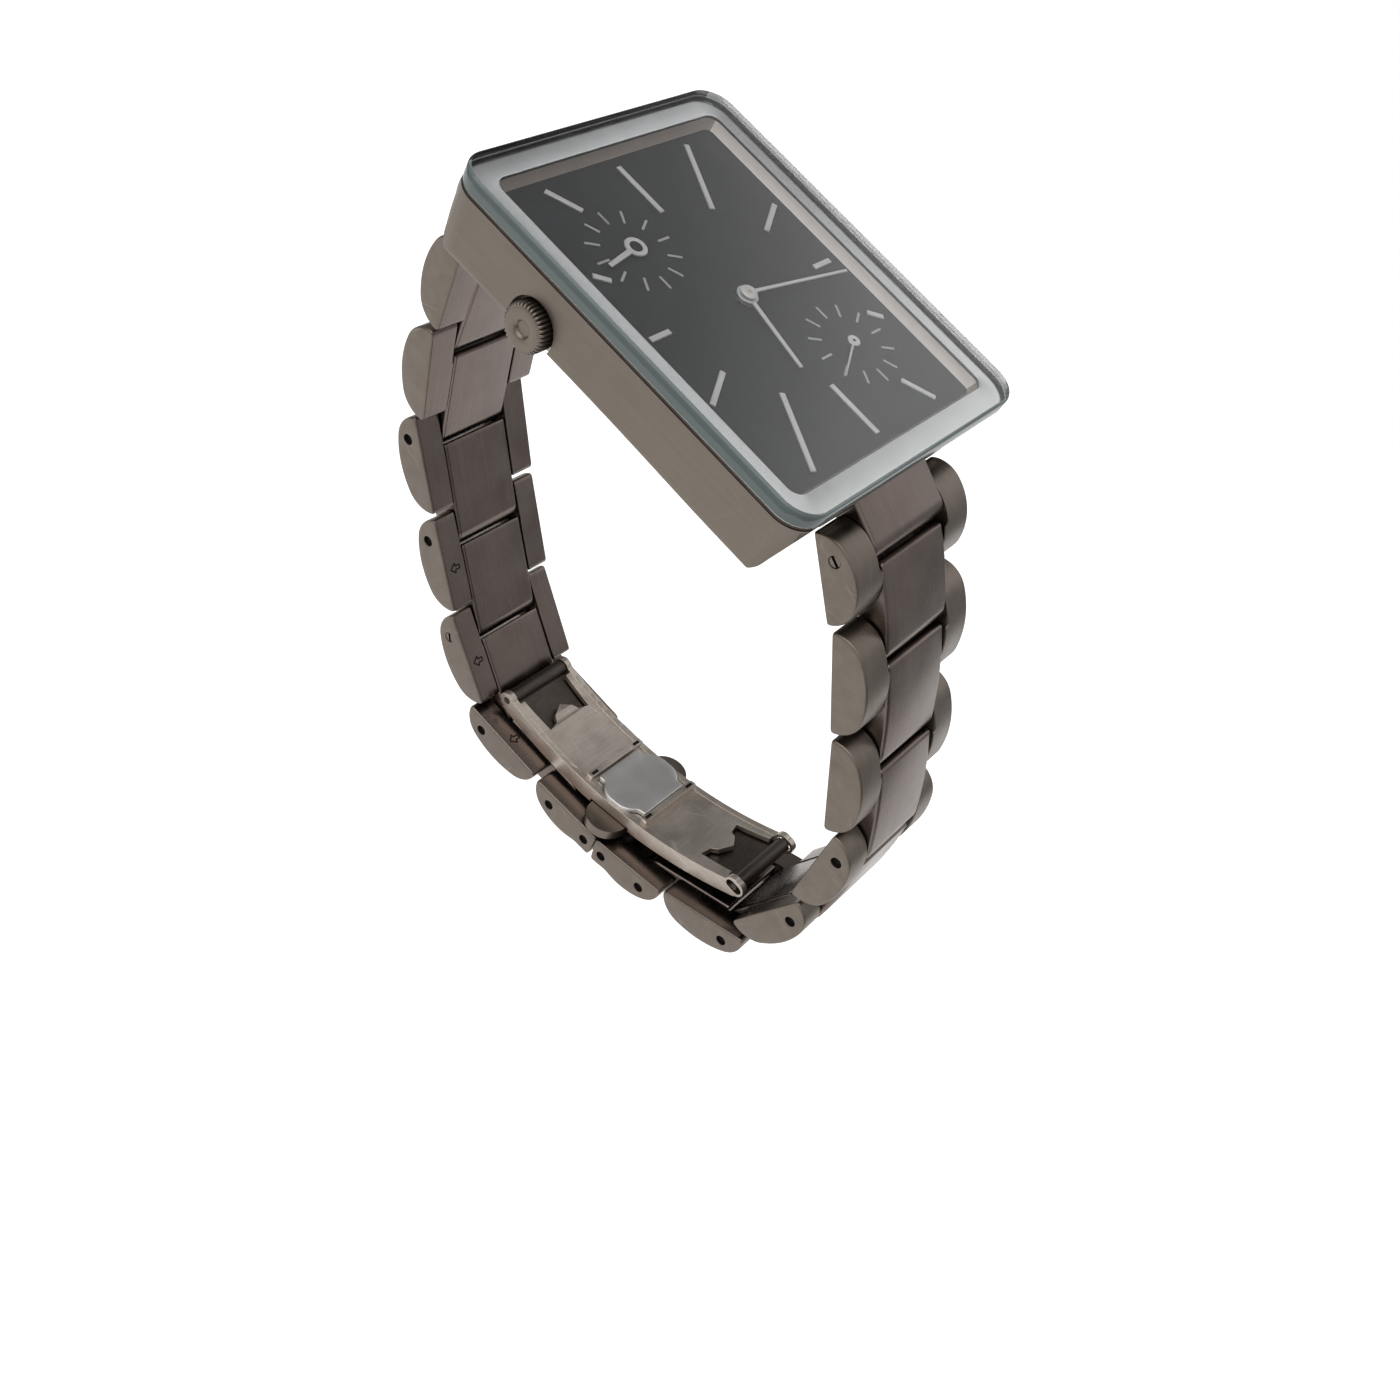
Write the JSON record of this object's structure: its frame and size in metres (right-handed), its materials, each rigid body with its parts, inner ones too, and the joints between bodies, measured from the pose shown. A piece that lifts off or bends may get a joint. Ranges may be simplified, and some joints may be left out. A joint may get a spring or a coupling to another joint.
{
  "type": "analog wristwatch",
  "caption": "Rectangular quartz dress watch with two small dials under a flat full-width glass, on a three-row tapered steel bracelet with a push-button double folding clasp.",
  "frame": {"origin": "middle of the case back's outer face", "axes": "+Z out of the dial, +Y towards 12 o'clock, +X towards 3 o'clock; the bracelet hangs towards -Z"},
  "size_m": [0.033, 0.0652, 0.0622],
  "materials": {
    "case_metal": "satin warm grey",
    "back_steel": "satin",
    "plain_steel": "plain",
    "seal_rubber": "soft black",
    "crystal_glass": "polished, green-tinted edge",
    "ring_silver": "fine satin silver",
    "dial_black": "semi-matte charcoal",
    "hand_silver": "polished silver",
    "mark_grey": "printed pale grey",
    "movement_metal": "plated",
    "side_metal": "satin warm grey",
    "centre_metal": "brushed along the bracelet, darker warm grey",
    "clasp_steel": "worn satin"
  },
  "bodies": {
    "case": {"case_body": "case_metal", "case_back": "back_steel", "case_back_screws": "plain_steel", "case_back_gasket": "seal_rubber", "crystal": "crystal_glass", "dial_ring": "ring_silver", "dial": "dial_black", "dial_batons": "hand_silver", "dial_marks": "mark_grey", "movement": "movement_metal", "battery": "plain_steel", "crown_tube": "plain_steel", "spring_bars": "plain_steel"},
    "hour_hand": {"hour_hand": "hand_silver"},
    "minute_hand": {"minute_hand": "hand_silver"},
    "second_zone_hand": {"second_zone_hand": "hand_silver"},
    "small_seconds_hand": {"small_seconds_hand": "hand_silver"},
    "setting_lever": {"setting_lever": "plain_steel"},
    "crown": {"crown": "case_metal", "stem": "plain_steel"},
    "end_link_12": {"end_link_12": "centre_metal"},
    "end_link_6": {"end_link_6": "centre_metal"},
    "link_12_1": {"side_links_12_1": "side_metal", "centre_link_12_1": "centre_metal"},
    "link_12_2": {"side_links_12_2": "side_metal", "centre_link_12_2": "centre_metal"},
    "link_12_3": {"side_links_12_3": "side_metal", "centre_link_12_3": "centre_metal"},
    "link_12_4": {"side_links_12_4": "side_metal", "centre_link_12_4": "centre_metal"},
    "link_12_5": {"side_links_12_5": "side_metal", "centre_link_12_5": "centre_metal"},
    "link_12_6": {"side_links_12_6": "side_metal", "centre_link_12_6": "centre_metal"},
    "link_12_7": {"side_links_12_7": "side_metal", "centre_link_12_7": "centre_metal"},
    "link_12_8": {"side_links_12_8": "side_metal", "centre_link_12_8": "centre_metal"},
    "link_6_1": {"side_links_6_1": "side_metal", "centre_link_6_1": "centre_metal"},
    "link_6_2": {"side_links_6_2": "side_metal", "centre_link_6_2": "centre_metal"},
    "link_6_3": {"side_links_6_3": "side_metal", "centre_link_6_3": "centre_metal"},
    "link_6_4": {"side_links_6_4": "side_metal", "centre_link_6_4": "centre_metal"},
    "link_6_5": {"side_links_6_5": "side_metal", "centre_link_6_5": "centre_metal"},
    "link_6_6": {"side_links_6_6": "side_metal", "centre_link_6_6": "centre_metal"},
    "link_6_7": {"side_links_6_7": "side_metal", "centre_link_6_7": "centre_metal"},
    "blade_12": {"clasp_blade_12": "clasp_steel"},
    "bow": {"clasp_bow": "clasp_steel", "clasp_cover": "clasp_steel", "lock_block": "clasp_steel", "pusher_spring": "plain_steel"},
    "blade_6": {"clasp_blade_6": "clasp_steel"},
    "pusher_near": {"pusher_near": "side_metal"},
    "pusher_far": {"pusher_far": "side_metal"}
  },
  "joints": [
    {"name": "minute_turn", "type": "hinge", "parent": "case", "child": "minute_hand", "pos_m": [0, 0, 0.0067], "axis": [0, 0, -1], "continuous": true},
    {"name": "hour_turn", "type": "hinge", "parent": "case", "child": "hour_hand", "pos_m": [0, 0, 0.0063], "axis": [0, 0, -1], "continuous": true},
    {"name": "second_zone_turn", "type": "hinge", "parent": "case", "child": "second_zone_hand", "pos_m": [-0.00598, 0.00775, 0.0063], "axis": [0, 0, -1], "continuous": true},
    {"name": "small_seconds_turn", "type": "hinge", "parent": "case", "child": "small_seconds_hand", "pos_m": [0.00598, -0.00775, 0.0063], "axis": [0, 0, -1], "continuous": true},
    {"name": "crown_pull", "type": "slide", "parent": "case", "child": "setting_lever", "axis": [-1, 0, 0], "range_m": [0, 0.001]},
    {"name": "crown_turn", "type": "hinge", "parent": "setting_lever", "child": "crown", "pos_m": [-0.0155, 0.00755, 0.0024], "axis": [-1, 0, 0], "continuous": true},
    {"name": "end_link_12_swing", "type": "hinge", "parent": "case", "child": "end_link_12", "pos_m": [0, 0.018, 0.0036], "axis": [1, 0, 0], "range_deg": [0, 3.7]},
    {"name": "link_12_1_swing", "type": "hinge", "parent": "end_link_12", "child": "link_12_1", "pos_m": [0, 0.02145, 0.00243], "axis": [1, 0, 0], "range_deg": [0, 3.7]},
    {"name": "link_12_2_swing", "type": "hinge", "parent": "link_12_1", "child": "link_12_2", "pos_m": [0, 0.02253, -0.0066], "axis": [1, 0, 0], "range_deg": [0, 3.7]},
    {"name": "link_12_3_swing", "type": "hinge", "parent": "link_12_2", "child": "link_12_3", "pos_m": [0, 0.02193, -0.0174], "axis": [1, 0, 0], "range_deg": [0, 3.7]},
    {"name": "link_12_4_swing", "type": "hinge", "parent": "link_12_3", "child": "link_12_4", "pos_m": [0, 0.01936, -0.02792], "axis": [1, 0, 0], "range_deg": [0, 4.8]},
    {"name": "link_12_5_swing", "type": "hinge", "parent": "link_12_4", "child": "link_12_5", "pos_m": [0, 0.01282, -0.03654], "axis": [1, 0, 0], "range_deg": [0, 5.2]},
    {"name": "link_12_6_swing", "type": "hinge", "parent": "link_12_5", "child": "link_12_6", "pos_m": [0, 0.00586, -0.04484], "axis": [1, 0, 0], "range_deg": [0, 15.3]},
    {"name": "link_12_7_swing", "type": "hinge", "parent": "link_12_6", "child": "link_12_7", "pos_m": [0, -0.00246, -0.05176], "axis": [1, 0, 0], "range_deg": [0, 31.9]},
    {"name": "link_12_8_swing", "type": "hinge", "parent": "link_12_7", "child": "link_12_8", "pos_m": [0, -0.01328, -0.05162], "axis": [1, 0, 0], "range_deg": [0, 12.2]},
    {"name": "blade_12_swing", "type": "hinge", "parent": "link_12_8", "child": "blade_12", "pos_m": [0, -0.01851, -0.05113], "axis": [1, 0, 0], "range_deg": [0, 18.5]},
    {"name": "clasp_open", "type": "hinge", "parent": "blade_12", "child": "bow", "pos_m": [0, -0.0023, -0.04795], "axis": [-1, 0, 0], "range_deg": [0, 85]},
    {"name": "end_link_6_swing", "type": "hinge", "parent": "case", "child": "end_link_6", "pos_m": [0, -0.018, 0.0036], "axis": [1, 0, 0], "range_deg": [-3.7, 0]},
    {"name": "link_6_1_swing", "type": "hinge", "parent": "end_link_6", "child": "link_6_1", "pos_m": [0, -0.02112, 0.00173], "axis": [1, 0, 0], "range_deg": [-3.7, 0]},
    {"name": "link_6_2_swing", "type": "hinge", "parent": "link_6_1", "child": "link_6_2", "pos_m": [0, -0.02711, -0.0051], "axis": [1, 0, 0], "range_deg": [-3.7, 0]},
    {"name": "link_6_3_swing", "type": "hinge", "parent": "link_6_2", "child": "link_6_3", "pos_m": [0, -0.03287, -0.01427], "axis": [1, 0, 0], "range_deg": [-3.7, 0]},
    {"name": "link_6_4_swing", "type": "hinge", "parent": "link_6_3", "child": "link_6_4", "pos_m": [0, -0.03808, -0.02376], "axis": [1, 0, 0], "range_deg": [-5.4, 0]},
    {"name": "link_6_5_swing", "type": "hinge", "parent": "link_6_4", "child": "link_6_5", "pos_m": [0, -0.03916, -0.03453], "axis": [1, 0, 0], "range_deg": [-13.5, 0]},
    {"name": "link_6_6_swing", "type": "hinge", "parent": "link_6_5", "child": "link_6_6", "pos_m": [0, -0.03592, -0.04486], "axis": [1, 0, 0], "range_deg": [-32.5, 0]},
    {"name": "link_6_7_swing", "type": "hinge", "parent": "link_6_6", "child": "link_6_7", "pos_m": [0, -0.02615, -0.0495], "axis": [1, 0, 0], "range_deg": [-12, 0]},
    {"name": "blade_6_swing", "type": "hinge", "parent": "link_6_7", "child": "blade_6", "pos_m": [0, -0.02107, -0.05081], "axis": [1, 0, 0], "range_deg": [-19.1, 0]},
    {"name": "pusher_near_press", "type": "slide", "parent": "bow", "child": "pusher_near", "axis": [1, 0, 0], "range_m": [0, 0.0008], "stiffness_N_per_m": 400, "springref_m": -0.0006},
    {"name": "pusher_far_press", "type": "slide", "parent": "bow", "child": "pusher_far", "axis": [-1, 0, 0], "range_m": [0, 0.0008], "stiffness_N_per_m": 400, "springref_m": -0.0006}
  ],
  "couplings": [
    {"joint": "hour_turn", "follows": "minute_turn", "ratio": 0.083333},
    {"joint": "second_zone_turn", "follows": "minute_turn", "ratio": 0.083333},
    {"joint": "end_link_12_swing", "follows": "clasp_open", "ratio": 0.02},
    {"joint": "link_12_1_swing", "follows": "clasp_open", "ratio": 0.02},
    {"joint": "link_12_2_swing", "follows": "clasp_open", "ratio": 0.02},
    {"joint": "link_12_3_swing", "follows": "clasp_open", "ratio": 0.02},
    {"joint": "link_12_4_swing", "follows": "clasp_open", "ratio": 0.0328},
    {"joint": "link_12_5_swing", "follows": "clasp_open", "ratio": 0.0378},
    {"joint": "link_12_6_swing", "follows": "clasp_open", "ratio": 0.1559},
    {"joint": "link_12_7_swing", "follows": "clasp_open", "ratio": 0.3522},
    {"joint": "link_12_8_swing", "follows": "clasp_open", "ratio": 0.1204},
    {"joint": "blade_12_swing", "follows": "clasp_open", "ratio": 0.1942},
    {"joint": "end_link_6_swing", "follows": "clasp_open", "ratio": -0.02},
    {"joint": "link_6_1_swing", "follows": "clasp_open", "ratio": -0.02},
    {"joint": "link_6_2_swing", "follows": "clasp_open", "ratio": -0.02},
    {"joint": "link_6_3_swing", "follows": "clasp_open", "ratio": -0.02},
    {"joint": "link_6_4_swing", "follows": "clasp_open", "ratio": -0.0396},
    {"joint": "link_6_5_swing", "follows": "clasp_open", "ratio": -0.1357},
    {"joint": "link_6_6_swing", "follows": "clasp_open", "ratio": -0.3592},
    {"joint": "link_6_7_swing", "follows": "clasp_open", "ratio": -0.1174},
    {"joint": "blade_6_swing", "follows": "clasp_open", "ratio": -0.2006}
  ]
}
